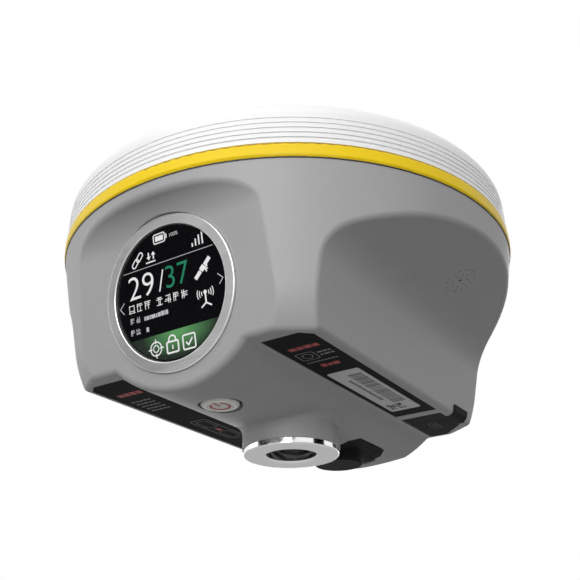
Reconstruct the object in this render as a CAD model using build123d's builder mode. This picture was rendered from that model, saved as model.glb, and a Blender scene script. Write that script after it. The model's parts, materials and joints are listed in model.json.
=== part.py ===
"""A GNSS receiver for a survey pole: a round ribbed radome over a scooped casing with a screen.

The origin is the centre of the pole insert's bottom face, which is the antenna reference point.
+Z points up the pole and the screen faces -Y.  All sizes are in millimetres.
"""
import math
import os

from build123d import *

os.makedirs("parts", exist_ok=True)

# ---- casing ------------------------------------------------------------------------------------
rim_radius = 75.6
rim_z = 62.0
skirt_foot = (69.6, 27.0)  # radius and height where the skirt line ends
wing_radius = 65.5  # round corner of the plan at the wing floor
wing_z = 15.3  # underside of the two wings that carry the labels
wall = 2.5
side_foot_x = 41.4  # side wall at the wing floor
side_bend = (45.0, 34.0)  # where the side wall turns out into its scoop
scoop_mid = (53.1, 44.6)
scoop_end = (77.0, 54.5)
front_y = 61.9  # front face at the height of the screen's centre
front_tilt = 12.6  # degrees that the front face leans over
front_scoop = (50.0, 58.0)  # heights where its upper cove starts and ends
back_scoop = (45.0, 55.0)
cove_end_y = 75.5
hull_radius = 33.4  # round belly that runs from front to back
hull_z = 6.4  # lowest line of the belly
hull_end = (49.0, 10.0)  # where the belly's tail starts in Y, and how high it ends
form_round = 2.0
boss_fillet = 3.0

# ---- dome and bumper -----------------------------------------------------------------------------
bumper_radius = 76.0
bumper_height = 4.6
spigot_radius = 72.9
spigot_wall = 2.4
spigot_height = 7.0
seal_height = 1.2
seal_depth = 1.2
dome_radius = 75.8
dome_wall = 2.4
dome_shoulder_z = 77.0
dome_shoulder = (69.5, 82.4)  # radius and height where the shoulder meets the crown
dome_top_z = 92.0
groove_count = 5
groove_pitch = 1.68
groove_first_z = 68.3
groove_width = 0.55
groove_depth = 0.6
fit = 0.1  # radial gap between pieces that are fitted together

# ---- pole insert ---------------------------------------------------------------------------------
insert_radius = 15.2
insert_rim = 2.0
sleeve_radius = 12.5
sleeve_top_z = 19.5
thread_radius = 7.94  # 5/8 inch survey thread
thread_depth = 16.0
mouth_chamfer = 0.6
boss_radius = 15.6
nut_seat_lift = 10.7  # from the wall's thickness up to the nut's seat
nut_seat_z = nut_seat_lift + wall
nut_height = 4.0
nut_radius = 15.5

# ---- screen --------------------------------------------------------------------------------------
screen_z = 33.3
bezel_radius = 22.7
bezel_face = 3.1  # width of the bezel's ring
bezel_window = bezel_radius - bezel_face
bezel_proud = 0.8
bezel_depth = 2.2
lip_width = 0.4
lip_window = bezel_window - lip_width
lip_height = 1.9
gasket_height = 0.2
lens_height = 0.7
panel_inset = 0.2
panel_radius = lip_window - panel_inset
panel_gap = 0.1
screen_pad_radius = 25.0
screen_pad_depth = 4.2
lens_back = bezel_depth - lip_height - gasket_height
panel_height = screen_pad_depth - lens_back - panel_gap
bracket_height = 1.2
bracket_bolt_inset = 1.1
bracket_bolt_radius = bezel_radius - bracket_bolt_inset
bracket_bolts = 3
bracket_bolt_depth = 1.8
bracket_radius = 24.4
ribbon_width = 12.0
ribbon_height = 0.3

# ---- power button --------------------------------------------------------------------------------
button_y = -37.6
button_radius = 5.7
button_hole = 6.6
button_foot_z = 6.5
button_seat_z = 10.4
button_flange = (8.2, 1.0)  # radius and height
button_stem = (2.0, 1.9)
button_travel = 0.8
button_board_z = 17.6
button_board_size = (29.0, 10.0, 1.2)
button_bolt = (12.0, -37.6)
button_seal_z = (8.4, 9.6)
switch_size = (6.0, 6.0, 3.1)
switch_plunger = (1.6, 0.35)

# ---- labels and covers ---------------------------------------------------------------------------
label_x = (24.6, 39.1)
label_y = (-52.6, 27.2)
label_corner = 3.0
label_height = 0.5
label_recess = 0.6
label_gap = 0.15
sticker_x = (26.2, 36.6)
sticker_y = (-21.5, 21.2)
sticker_height = 0.12
cover_gap = 0.3
usb_x = (24.6, 38.6)
usb_y = (31.6, 55.4)
usb_height = 2.2
usb_corner = 8.0
usb_tab_y = (36.2, 46.6)
usb_tab_top_z = 18.7
usb_port = (31.5, 44.0)
usb_pad_z = 21.4
usb_board_z = 25.0
usb_board_size = (11.0, 21.0, 1.2)
usb_board_at = (31.0, 44.0)
usb_bolt_step = 8.6
usb_slot = (9.4, 3.8)
usb_socket = (9.0, 3.4, 18.2)  # width, depth and lower end
rear_y = (20.2, 38.2)
rear_half_width = 12.8
rear_inner_z = 10.3
rear_hinge = (42.2, 9.0)  # Y and Z of its pin
rear_hinge_radius = 2.6
rear_knuckle = 7.0  # half width of its tongue
rear_chamfer = 3.0
rear_end_y = 43.4  # back edge of the rubber beside the tongue
anchor_depth = 0.7
rear_bulge_y = 30.6
rear_bulge_radius = 8.4
rear_bulge_z = 3.4
rear_pad_z = 14.6
rear_open_z = 4.6  # inner floor of the bulge
rear_open_radius = 7.0
socket_barrel = (4.7, 5.0)  # radius and lower end of the aerial socket
socket_flange = (7.5, 2.4)
socket_stub = (2.5, 1.8)
pin_radius = 0.6
pin_gap = 0.05
pin_grip = 1.6

# ---- fixings and what is inside ------------------------------------------------------------------
post_x = 32.0
post_y = (-43.0, 18.0)
post_radius = 4.6
post_top_z = 58.0
post_bore = 3.1
screw_seat_z = 51.0
screw_radius = 1.5
screw_head = (2.8, 2.4)  # radius and height
screw_length = 15.0
small_screw = (0.9, 1.8, 1.2)  # shank radius, head radius, head height
plate_radius = 60.0
plate_height = 1.6
patch_low = (31.0, 5.5)
patch_high = (22.0, 4.5)
lna_size = (36.0, 36.0, 6.0)
board_z = 44.4
board_height = 1.6
board_x = 37.0
board_y = (-38.0, 50.0)
stand_places = [(-33.0, -31.0), (33.0, -31.0), (-20.0, 46.0), (20.0, 46.0)]
stand_foot_z = 22.0
stand_radius = 3.0
cell_radius = 9.2
cell_length = 65.0
tray_z = 20.0
tray_sheet = 1.4
tray_wall_z = 32.0
tray_ear = (24.5, 14.0)
speaker_x = 60.0
speaker_y = 6.3
speaker_radius = 6.4
speaker_height = 2.2
speaker_gasket = (5.8, 0.3)  # inner radius and height
speaker_rings = [(0.0, 1, 0.55), (2.6, 8, 0.25), (4.9, 16, 0.25)]  # ring radius, holes, hole radius

above = 120.0  # longer than the whole receiver, for cuts that run right through
front_lean = math.tan(math.radians(front_tilt))
usb_bolts = [(usb_board_at[0], usb_board_at[1] + d) for d in (-usb_bolt_step, usb_bolt_step)]
ear_places = [(x * tray_ear[0], y * tray_ear[1]) for x in (-1, 1) for y in (-1, 1)]
button_bolts = [(x * button_bolt[0], button_bolt[1]) for x in (-1, 1)]
post_places = [(x, y) for x in (-post_x, post_x) for y in post_y]
low = (Align.CENTER, Align.CENTER, Align.MIN)


def save(part, name):
    """Label a finished piece and write its file."""
    part.label = name
    export_step(part, f"parts/{name}.step")


def face_y(z):
    """How far the front and back faces stand from the axis at a height."""
    return front_y + (z - screen_z) * front_lean


# ---- the casing's form, which the cavity repeats with every wall moved in by inset ---------------
def skirt_section(inset):
    """Half section of the round skirt, down to the wing floor."""
    with BuildSketch(Plane.XZ) as section:
        with BuildLine():
            skirt = Line((rim_radius - inset, rim_z), (skirt_foot[0] - inset, skirt_foot[1]))
            corner = TangentArc(skirt @ 1, (wing_radius - inset, wing_z + inset), tangent=skirt % 1)
            Polyline(corner @ 1, (0, wing_z + inset), (0, rim_z), skirt @ 0)
        make_face()
    return section.sketch


def side_curve(inset):
    """The side wall's line and the two arcs of its scoop, as X and height."""
    foot_z = wing_z - 5
    foot_x = side_foot_x + (foot_z - wing_z) * (side_bend[0] - side_foot_x) / (side_bend[1] - wing_z)
    line = Line((foot_x - inset, foot_z), (side_bend[0] - inset, side_bend[1]))
    bend = TangentArc(line @ 1, (scoop_mid[0] - 0.6 * inset, scoop_mid[1] + 0.8 * inset),
                      tangent=line % 1)
    sweep_out = TangentArc(bend @ 1, (scoop_end[0], scoop_end[1] + inset), tangent=bend % 1)
    return line, bend, sweep_out


def side_cut_section(inset):
    """What is cut away beside the right wall, in XZ."""
    with BuildSketch(Plane.XZ) as section:
        with BuildLine():
            line, _, top = side_curve(inset)
            Polyline(top @ 1, (above, (top @ 1).Y), (above, 0), ((line @ 0).X, 0), line @ 0)
        make_face()
    return section.sketch


def front_cut_section(inset):
    """What is cut away before the front face, in YZ."""
    with BuildSketch(Plane.YZ) as section:
        with BuildLine():
            face = Line((inset - face_y(0), 0), (inset - face_y(front_scoop[0]), front_scoop[0]))
            cove = TangentArc(face @ 1, (-cove_end_y, front_scoop[1] + inset), tangent=face % 1)
            Polyline(cove @ 1, (-above, front_scoop[1] + inset), (-above, 0), face @ 0)
        make_face()
    return section.sketch


def back_cut_section(inset):
    """What is cut away behind the back face and under the belly's tail, in YZ."""
    tail_y = face_y(hull_end[1]) - inset
    with BuildSketch(Plane.YZ) as section:
        with BuildLine():
            face = Line((tail_y, hull_end[1] + inset / 2), (face_y(back_scoop[0]) - inset, back_scoop[0]))
            cove = TangentArc(face @ 1, (cove_end_y, back_scoop[1] + inset), tangent=face % 1)
            Polyline(cove @ 1, (above, back_scoop[1] + inset), (above, 0), (hull_end[0] - inset - 2, 0),
                     (hull_end[0] - inset, hull_z + inset / 2), face @ 0)
        make_face()
    return section.sketch


def belly_section(inset):
    """Lower half of the round belly, in XZ."""
    middle_z = hull_z + hull_radius
    with BuildSketch(Plane.XZ) as section:
        with Locations((0, middle_z)):
            Circle(hull_radius - inset)
        with Locations((0, middle_z + above / 2 - 10)):
            Rectangle(above, above, mode=Mode.SUBTRACT)
    return section.sketch


def casing_form(inset):
    """The casing as one closed form: a round skirt and a belly, scooped on four sides."""
    side_cut = side_cut_section(inset)
    with BuildPart() as form:
        revolve(skirt_section(inset), axis=Axis.Z)
        extrude(belly_section(inset), amount=above, both=True)
        extrude(side_cut, amount=above, both=True, mode=Mode.SUBTRACT)
        extrude(side_cut.mirror(Plane.YZ), amount=above, both=True, mode=Mode.SUBTRACT)
        extrude(front_cut_section(inset), amount=above, both=True, mode=Mode.SUBTRACT)
        extrude(back_cut_section(inset), amount=above, both=True, mode=Mode.SUBTRACT)
    return form.part


# ---- planes and outlines that several pieces share -----------------------------------------------
tilt = math.radians(front_tilt)
screen_plane = Plane(origin=(0, -front_y, screen_z), x_dir=(1, 0, 0),
                     z_dir=(0, -math.cos(tilt), -math.sin(tilt)))

speaker_arc = side_curve(0)[2]
speaker_share = speaker_arc.param_at_point(
    min((speaker_arc @ (k / 200) for k in range(201)), key=lambda p: abs(p.X - speaker_x)))
speaker_at = speaker_arc @ speaker_share
speaker_run = speaker_arc % speaker_share
speaker_plane = Plane(origin=(speaker_at.X, speaker_y, speaker_at.Y), x_dir=(0, 1, 0),
                      z_dir=(speaker_run.Y, 0, -speaker_run.X))


def label_outline(side, gap):
    """A label with its front outer corner cut, on side +1 or -1."""
    x0, x1 = label_x[0] - gap, label_x[1] + gap
    y0, y1 = label_y[0] - gap, label_y[1] + gap
    with BuildSketch(Plane.XY.offset(wing_z)) as outline:
        with BuildLine():
            Polyline((side * x0, y0), (side * (x1 - label_corner), y0), (side * x1, y0 + label_corner),
                     (side * x1, y1), (side * x0, y1), close=True)
        make_face()
    return outline.sketch


def usb_outline(gap):
    """The port cover's plate seen from below."""
    x0, x1 = usb_x[0] - gap, usb_x[1] + gap
    y0, y1 = usb_y[0] - gap, usb_y[1] + gap
    with BuildSketch(Plane.XY.offset(wing_z)) as outline:
        with BuildLine():
            Polyline((x0, y0), (x1, y0), (x1, y1 - usb_corner), (x1 - usb_corner, y1), (x0, y1), close=True)
        make_face()
    return outline.sketch


def usb_tab_section(gap):
    """The pull tab that turns up the side wall, in XZ."""
    rise = usb_tab_top_z - wing_z
    lean = rise * (side_bend[0] - side_foot_x) / (side_bend[1] - wing_z)
    inner = side_foot_x - 1.6
    with BuildSketch(Plane.XZ) as section:
        with BuildLine():
            Polyline((usb_x[1] - 1, wing_z), (usb_x[1] - 1, wing_z + usb_height + gap),
                     (inner - gap, wing_z + usb_height + gap), (inner - gap, usb_tab_top_z + gap),
                     (side_foot_x + lean + 0.6, usb_tab_top_z + gap), (side_foot_x + 0.8, wing_z + 1.6),
                     (side_foot_x - 0.6, wing_z), close=True)
        make_face()
    return section.sketch


def rear_outline(gap):
    """The rear cover seen from below: a plate with cut corners and a narrower tongue behind."""
    x, tongue = rear_half_width + gap, rear_knuckle + gap
    y0, y1 = rear_y[0] - gap, rear_y[1] + gap
    with BuildSketch(Plane.XY) as outline:
        with BuildLine():
            Polyline((rear_chamfer - x, y0), (x - rear_chamfer, y0), (x, y0 + rear_chamfer), (x, y1),
                     (tongue, y1), (tongue, rear_hinge[0]), (-tongue, rear_hinge[0]), (-tongue, y1),
                     (-x, y1), (-x, y0 + rear_chamfer), close=True)
        make_face()
    return outline.sketch


def anchor_form(gap):
    """The two rubber shoulders beside the rear cover's tongue, flush with the belly."""
    x0, x1 = rear_knuckle + cover_gap, rear_half_width + gap
    y0, y1 = rear_y[1] + cover_gap, rear_end_y + gap
    with BuildPart() as shoulders:
        with BuildSketch(Plane.XY):
            for side in (-1, 1):
                with BuildLine():
                    Polyline((side * x0, y0), (side * x1, y0), (side * x1, y1 - rear_chamfer),
                             (side * (x1 - rear_chamfer), y1), (side * x0, y1), close=True)
                make_face()
        extrude(amount=wing_z)
        extrude(belly_section(0), amount=above, both=True, mode=Mode.INTERSECT)
        extrude(belly_section(anchor_depth), amount=above, both=True, mode=Mode.SUBTRACT)
    return shoulders.part


# ---- lower casing --------------------------------------------------------------------------------
with BuildPart() as outer:
    add(casing_form(0))
    formed = [e for e in outer.edges() if wing_z - 1 < e.bounding_box().max.Z < rim_z - 0.5]
    fillet(formed, form_round)
    Cylinder(boss_radius, hull_z + 8, align=low)
    with BuildSketch(Plane.XY) as under_boss:
        Circle(boss_radius + 8)
    extrude(amount=insert_rim, mode=Mode.SUBTRACT)
    around_boss = [e for e in outer.edges() if e.bounding_box().max.Z < wing_z - 1
                   and e.bounding_box().min.Z > insert_rim + 1 and e.geom_type != GeomType.LINE
                   and max(Vector(p.X, p.Y).length for p in (e @ 0, e @ 0.5, e @ 1)) < boss_radius + 0.1]
    fillet(around_boss, boss_fillet)

usb_hinge_x = usb_x[0] + usb_height / 2
usb_hinge_z = wing_z + usb_height / 2

with BuildPart() as cavity:
    add(casing_form(wall))
    with BuildSketch(Plane.XY.offset(rim_z)) as rim_ring:
        Circle(above)
        Circle(spigot_radius - spigot_wall, mode=Mode.SUBTRACT)
    extrude(amount=-4, mode=Mode.SUBTRACT)
    with Locations((0, 0, 0)):
        Cylinder(nut_radius + 2.5, nut_seat_z, align=low, mode=Mode.SUBTRACT)
    with Locations(*[(x, y, 0) for x, y in post_places]):
        Cylinder(post_radius, post_top_z, align=low, mode=Mode.SUBTRACT)
    with Locations(*[(x, y, 0) for x, y in stand_places]):
        Cylinder(stand_radius + 1, stand_foot_z, align=low, mode=Mode.SUBTRACT)
    with Locations(*[(x, y, 0) for x, y in ear_places]):
        Cylinder(3.5, tray_z, align=low, mode=Mode.SUBTRACT)
    with Locations((0, button_y, 0)):
        Cylinder(button_flange[0] + 1.4, button_seat_z - fit, align=low, mode=Mode.SUBTRACT)
    with Locations(*[(x, y, 0) for x, y in button_bolts]):
        Cylinder(2.4, button_board_z, align=low, mode=Mode.SUBTRACT)
    with Locations((0, button_y, button_seat_z - fit)):
        Cylinder(button_flange[0] + 0.4, 8, align=low)
    with Locations((33.0, 44.0, 0)):
        Box(26, 30, usb_pad_z, align=low, mode=Mode.SUBTRACT)
    with Locations(*[(x, y, 0) for x, y in usb_bolts]):
        Cylinder(2.4, usb_board_z, align=low, mode=Mode.SUBTRACT)
    with Locations((0, 32.0, 0)):
        Box(2 * rear_half_width + 5, 28, rear_pad_z, align=low, mode=Mode.SUBTRACT)
    with BuildSketch(screen_plane) as screen_pad:
        Circle(screen_pad_radius)
    extrude(amount=-screen_pad_depth, mode=Mode.SUBTRACT)
    with BuildSketch(speaker_plane) as speaker_pad:
        Circle(speaker_radius + 2)
    extrude(amount=-(wall + 2), mode=Mode.SUBTRACT)

with BuildPart() as casing:
    add(outer.part)
    add(cavity.part, mode=Mode.SUBTRACT)
    with BuildSketch(Plane.XY.offset(rim_z)) as spigot:
        Circle(spigot_radius)
        Circle(spigot_radius - spigot_wall, mode=Mode.SUBTRACT)
    extrude(amount=spigot_height)
    with BuildSketch(Plane.XY.offset(rim_z + bumper_height + 0.5)) as seal_groove:
        Circle(above)
        Circle(spigot_radius - seal_depth, mode=Mode.SUBTRACT)
    extrude(amount=seal_height + 2 * fit, mode=Mode.SUBTRACT)
    # pole insert's bore
    Cylinder(sleeve_radius + fit, above, mode=Mode.SUBTRACT)
    # screw wells up the four posts
    with Locations(*[(x, y, 0) for x, y in post_places]):
        Cylinder(post_bore, screw_seat_z, align=low, mode=Mode.SUBTRACT)
        Cylinder(screw_radius + 0.2, post_top_z + 1, align=low, mode=Mode.SUBTRACT)
    # label recesses
    extrude(label_outline(1, label_gap), amount=label_recess, mode=Mode.SUBTRACT)
    extrude(label_outline(-1, label_gap), amount=label_recess, mode=Mode.SUBTRACT)
    # screen seat
    with BuildSketch(screen_plane.offset(-bezel_depth)) as bezel_seat:
        Circle(bezel_radius + fit)
    extrude(amount=10, mode=Mode.SUBTRACT)
    with BuildSketch(screen_plane.offset(5)) as screen_bore:
        Circle(panel_radius + 0.4)
    extrude(amount=-(screen_pad_depth + 12), mode=Mode.SUBTRACT)
    with BuildSketch(screen_plane.offset(-screen_pad_depth)) as bracket_holes:
        with PolarLocations(bracket_bolt_radius, bracket_bolts, 90):
            Circle(small_screw[0] + pin_gap)
    extrude(amount=bracket_bolt_depth, mode=Mode.SUBTRACT)
    # power button's hole and its board's screw holes
    with Locations((0, button_y, 0)):
        Cylinder(button_hole, button_seat_z + 1, align=low, mode=Mode.SUBTRACT)
    with Locations(*[(x, y, button_board_z) for x, y in button_bolts]):
        Cylinder(small_screw[0] + pin_gap, 10, mode=Mode.SUBTRACT)
    # port cover's pocket, its pin and the port's slot
    extrude(usb_outline(cover_gap), amount=usb_height + cover_gap, mode=Mode.SUBTRACT)
    tab_mid = (usb_tab_y[0] + usb_tab_y[1]) / 2
    tab_cut = usb_tab_section(cover_gap).moved(Location((0, tab_mid, 0)))
    extrude(tab_cut, amount=(usb_tab_y[1] - usb_tab_y[0]) / 2 + cover_gap, both=True, mode=Mode.SUBTRACT)
    with BuildSketch(Plane.XZ.offset(-(usb_y[1] + cover_gap + pin_grip))) as usb_pin_hole:
        with Locations((usb_hinge_x, usb_hinge_z)):
            Circle(pin_radius + pin_gap)
    extrude(amount=usb_y[1] - usb_y[0] + 2 * (cover_gap + pin_grip), mode=Mode.SUBTRACT)
    with Locations((usb_port[0], usb_port[1], usb_pad_z)):
        Box(usb_slot[0], usb_slot[1], 12, mode=Mode.SUBTRACT)
    with Locations(*[(x, y, usb_board_z) for x, y in usb_bolts]):
        Cylinder(small_screw[0] + pin_gap, 6, mode=Mode.SUBTRACT)
    # rear cover's pocket, its pin and the aerial socket's hole
    extrude(rear_outline(cover_gap), amount=rear_inner_z + cover_gap, mode=Mode.SUBTRACT)
    with BuildSketch(Plane.YZ) as rear_groove:
        with Locations(rear_hinge):
            Circle(rear_hinge_radius + cover_gap)
    extrude(amount=rear_knuckle + cover_gap, both=True, mode=Mode.SUBTRACT)
    with Locations((0, rear_hinge[0], 0)):
        Box(2 * (rear_knuckle + cover_gap), 2 * (rear_hinge_radius + cover_gap), rear_hinge[1], align=low,
            mode=Mode.SUBTRACT)
    add(anchor_form(fit), mode=Mode.SUBTRACT)
    with BuildSketch(Plane.YZ) as rear_pin_hole:
        with Locations(rear_hinge):
            Circle(pin_radius + pin_gap)
    extrude(amount=rear_knuckle + cover_gap + pin_grip, both=True, mode=Mode.SUBTRACT)
    with Locations((0, rear_bulge_y, 0)):
        Cylinder(socket_barrel[0] + fit, rear_pad_z + 1, align=low, mode=Mode.SUBTRACT)
    # tray ears and standoffs
    with Locations(*[(x, y, tray_z) for x, y in ear_places]):
        Cylinder(small_screw[0] + pin_gap, 5, mode=Mode.SUBTRACT)
    with Locations(*[(x, y, stand_foot_z) for x, y in stand_places]):
        Cylinder(1.3, 7, mode=Mode.SUBTRACT)
    # speaker: a seat inside, and rings of small holes through the scoop
    with BuildSketch(speaker_plane.offset(-(wall + 0.5))) as speaker_seat:
        Circle(speaker_radius + fit)
    extrude(amount=-6, mode=Mode.SUBTRACT)
    with BuildSketch(speaker_plane.offset(2)) as speaker_holes:
        for ring_radius, holes, hole_radius in speaker_rings:
            with PolarLocations(ring_radius, holes):
                Circle(hole_radius)
    extrude(amount=-(wall + 3), mode=Mode.SUBTRACT)
save(casing.part, "lower_casing")

# ---- dome and bumper -----------------------------------------------------------------------------
dome_foot_z = rim_z + bumper_height
with BuildPart() as bumper:
    with BuildSketch(Plane.XY.offset(rim_z)):
        Circle(bumper_radius)
        Circle(spigot_radius + fit, mode=Mode.SUBTRACT)
    extrude(amount=bumper_height)
    fillet([e for e in bumper.edges() if e.bounding_box().max.X > bumper_radius - 0.1
            and e.geom_type == GeomType.CIRCLE], 0.9)
save(bumper.part, "bumper_ring")

with BuildPart() as seal:
    with BuildSketch(Plane.XY.offset(dome_foot_z + 0.5 + fit)):
        Circle(spigot_radius + fit)
        Circle(spigot_radius - seal_depth, mode=Mode.SUBTRACT)
    extrude(amount=seal_height)
save(seal.part, "casing_seal")


def dome_section(inset):
    """Half section of the dome as a filled shape, moved in by inset."""
    with BuildSketch(Plane.XZ) as section:
        with BuildLine():
            side = Line((dome_radius - inset, dome_foot_z), (dome_radius - 0.4 - inset, dome_shoulder_z))
            turn = TangentArc(side @ 1, (dome_shoulder[0] - 0.6 * inset, dome_shoulder[1] - 0.8 * inset),
                              tangent=side % 1)
            reach, drop = (turn @ 1).X, dome_top_z - inset - (turn @ 1).Y
            crown_radius = (reach**2 + drop**2) / (2 * drop)
            half_drop = crown_radius - math.sqrt(crown_radius**2 - (reach / 2) ** 2)
            crown = ThreePointArc(turn @ 1, (reach / 2, dome_top_z - inset - half_drop),
                                  (0, dome_top_z - inset))
            Polyline(crown @ 1, (0, dome_foot_z), side @ 0)
        make_face()
    return section.sketch


with BuildPart() as dome_cavity:
    revolve(dome_section(dome_wall), axis=Axis.Z)
    with Locations(*[(x, y, post_top_z) for x, y in post_places]):
        Cylinder(post_radius, dome_top_z - post_top_z, align=low, mode=Mode.SUBTRACT)

with BuildPart() as dome:
    revolve(dome_section(0), axis=Axis.Z)
    fillet([e for e in dome.edges() if abs(e.center().Z - dome_shoulder[1]) < 0.5], 6.0)
    add(dome_cavity.part, mode=Mode.SUBTRACT)
    with BuildSketch(Plane.XY.offset(dome_foot_z)) as socket_wall:
        Circle(dome_radius - dome_wall + 0.2)
        Circle(spigot_radius + fit, mode=Mode.SUBTRACT)
    extrude(amount=3.2)
    with BuildSketch(Plane.XZ) as groove_section:
        for k in range(groove_count):
            with Locations((dome_radius, groove_first_z + k * groove_pitch)):
                Rectangle(2 * groove_depth, groove_width)
    revolve(axis=Axis.Z, mode=Mode.SUBTRACT)
    with BuildSketch(Plane.XY.offset(post_top_z + plate_height)) as dome_posts:
        with Locations(*post_places):
            Circle(post_radius)
    extrude(amount=dome_foot_z - post_top_z)
    with BuildSketch(Plane.XY.offset(post_top_z + plate_height)) as dome_post_holes:
        with Locations(*post_places):
            Circle(screw_radius + pin_gap)
    extrude(amount=8, mode=Mode.SUBTRACT)
save(dome.part, "upper_dome")

# ---- pole insert ---------------------------------------------------------------------------------
with BuildPart() as insert:
    Cylinder(insert_radius, insert_rim, align=low)
    Cylinder(sleeve_radius, sleeve_top_z, align=low)
    fillet(insert.edges().group_by(Axis.Z)[0], 0.5)
    Cylinder(thread_radius, thread_depth, align=low, mode=Mode.SUBTRACT)
    chamfer([e for e in insert.edges().group_by(Axis.Z)[0]
             if e.bounding_box().max.X < thread_radius + 0.1], mouth_chamfer)
save(insert.part, "pole_insert")

with BuildPart() as nut:
    with BuildSketch(Plane.XY.offset(nut_seat_z)):
        Circle(nut_radius)
        Circle(sleeve_radius + pin_gap, mode=Mode.SUBTRACT)
        with PolarLocations(nut_radius, 4):
            Rectangle(2.4, 3.0, mode=Mode.SUBTRACT)
    extrude(amount=nut_height)
save(nut.part, "insert_nut")

# ---- screen --------------------------------------------------------------------------------------
with BuildPart() as bezel:
    with BuildSketch(screen_plane.offset(-bezel_depth)):
        Circle(bezel_radius)
        Circle(lip_window, mode=Mode.SUBTRACT)
    extrude(amount=bezel_depth + bezel_proud)
    with BuildSketch(screen_plane.offset(lip_height - bezel_depth)):
        Circle(bezel_window)
    extrude(amount=bezel_depth + bezel_proud, mode=Mode.SUBTRACT)
    front_rims = bezel.faces().filter_by(GeomType.PLANE).sort_by(Axis.Y)[0].edges()
    fillet(front_rims, 0.35)
save(bezel.part, "screen_bezel")

with BuildPart() as gasket:
    with BuildSketch(screen_plane.offset(lip_height - bezel_depth)):
        Circle(bezel_window - fit)
        Circle(lip_window, mode=Mode.SUBTRACT)
    extrude(amount=gasket_height)
save(gasket.part, "screen_gasket")

with BuildPart() as lens:
    with BuildSketch(screen_plane.offset(-lens_back)):
        Circle(bezel_window - fit)
    extrude(amount=lens_height)
save(lens.part, "screen_lens")

with BuildPart() as panel:
    with BuildSketch(screen_plane.offset(-lens_back - panel_gap)):
        Circle(panel_radius)
    extrude(amount=-panel_height)
save(panel.part, "display_panel")

with BuildPart() as bracket:
    with BuildSketch(screen_plane.offset(-screen_pad_depth)):
        Circle(bracket_radius)
        with Locations((0, 4)):
            Rectangle(16, 6, mode=Mode.SUBTRACT)
        with PolarLocations(bracket_bolt_radius, bracket_bolts, 90):
            Circle(small_screw[0] + pin_gap, mode=Mode.SUBTRACT)
    extrude(amount=-bracket_height)
save(bracket.part, "display_bracket")

with BuildPart() as bracket_screws:
    with BuildSketch(screen_plane.offset(-screen_pad_depth - bracket_height)):
        with PolarLocations(bracket_bolt_radius, bracket_bolts, 90):
            Circle(small_screw[1])
    extrude(amount=-small_screw[2])
    with BuildSketch(screen_plane.offset(-screen_pad_depth - bracket_height)):
        with PolarLocations(bracket_bolt_radius, bracket_bolts, 90):
            Circle(small_screw[0])
    extrude(amount=bracket_height + bracket_bolt_depth - fit)
save(bracket_screws.part, "bracket_screws")

panel_back = screen_plane.offset(-screen_pad_depth)
ribbon_start = panel_back.from_local_coords(Vector(0, 4, 0))
ribbon_turn = panel_back.from_local_coords(Vector(0, 4, -4.5))
with BuildPart() as ribbon:
    with BuildSketch(Plane.YZ):
        with BuildLine():
            Polyline((ribbon_start.Y, ribbon_start.Z), (ribbon_turn.Y, ribbon_turn.Z),
                     (board_y[0] - 1, board_z - ribbon_height / 2), (board_y[0] + 4, board_z - ribbon_height / 2))
        trace(line_width=ribbon_height)
    extrude(amount=ribbon_width / 2, both=True)
    split(bisect_by=panel_back, keep=Keep.BOTTOM)
save(ribbon.part, "display_ribbon")

# ---- power button --------------------------------------------------------------------------------
flange_top = button_seat_z + button_flange[1]
with BuildPart() as button:
    with Locations((0, button_y, button_foot_z)):
        Cylinder(button_radius, button_seat_z - button_foot_z, align=low)
    fillet(button.edges().group_by(Axis.Z)[0], 0.8)
    with Locations((0, button_y, button_seat_z)):
        Cylinder(button_flange[0], button_flange[1], align=low)
    with Locations((0, button_y, flange_top)):
        Cylinder(button_stem[0], button_stem[1], align=low)
save(button.part, "power_button")

with BuildPart() as button_seal:
    with BuildSketch(Plane.XY.offset(button_seal_z[0])):
        with Locations((0, button_y)):
            Circle(button_hole)
            Circle(button_radius + pin_gap, mode=Mode.SUBTRACT)
    extrude(amount=button_seal_z[1] - button_seal_z[0])
save(button_seal.part, "button_seal")

with BuildPart() as button_board:
    with BuildSketch(Plane.XY.offset(button_board_z)):
        with Locations((0, button_y)):
            RectangleRounded(button_board_size[0], button_board_size[1], 1.5)
        with Locations(*button_bolts):
            Circle(small_screw[0] + pin_gap, mode=Mode.SUBTRACT)
    extrude(amount=button_board_size[2])
save(button_board.part, "button_board")

with BuildPart() as switch:
    with Locations((0, button_y, button_board_z)):
        Box(*switch_size, align=(Align.CENTER, Align.CENTER, Align.MAX))
    with Locations((0, button_y, button_board_z - switch_size[2])):
        Cylinder(switch_plunger[0], switch_plunger[1], align=(Align.CENTER, Align.CENTER, Align.MAX))
save(switch.part, "power_switch")


def small_screws(places, seat_z, depth, name):
    """A set of small pan-head screws driven down into blind holes."""
    with BuildPart() as screws:
        with Locations(*[(x, y, seat_z) for x, y in places]):
            Cylinder(small_screw[1], small_screw[2], align=low)
            Cylinder(small_screw[0], depth, align=(Align.CENTER, Align.CENTER, Align.MAX))
    save(screws.part, name)


small_screws(button_bolts, button_board_z + button_board_size[2], button_board_size[2] + 4.5,
             "button_board_screws")

# ---- labels --------------------------------------------------------------------------------------
label_z = wing_z + label_recess - label_height
for side, name in ((-1, "left_label"), (1, "right_label")):
    with BuildPart() as label:
        extrude(label_outline(side, 0), amount=label_height)
    save(label.part.moved(Location((0, 0, label_z - wing_z))), name)

with BuildPart() as sticker:
    with BuildSketch(Plane.XY.offset(label_z)):
        with Locations(((sticker_x[0] + sticker_x[1]) / 2, (sticker_y[0] + sticker_y[1]) / 2)):
            RectangleRounded(sticker_x[1] - sticker_x[0], sticker_y[1] - sticker_y[0], 0.8)
    extrude(amount=-sticker_height)
save(sticker.part, "label_sticker")

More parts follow.
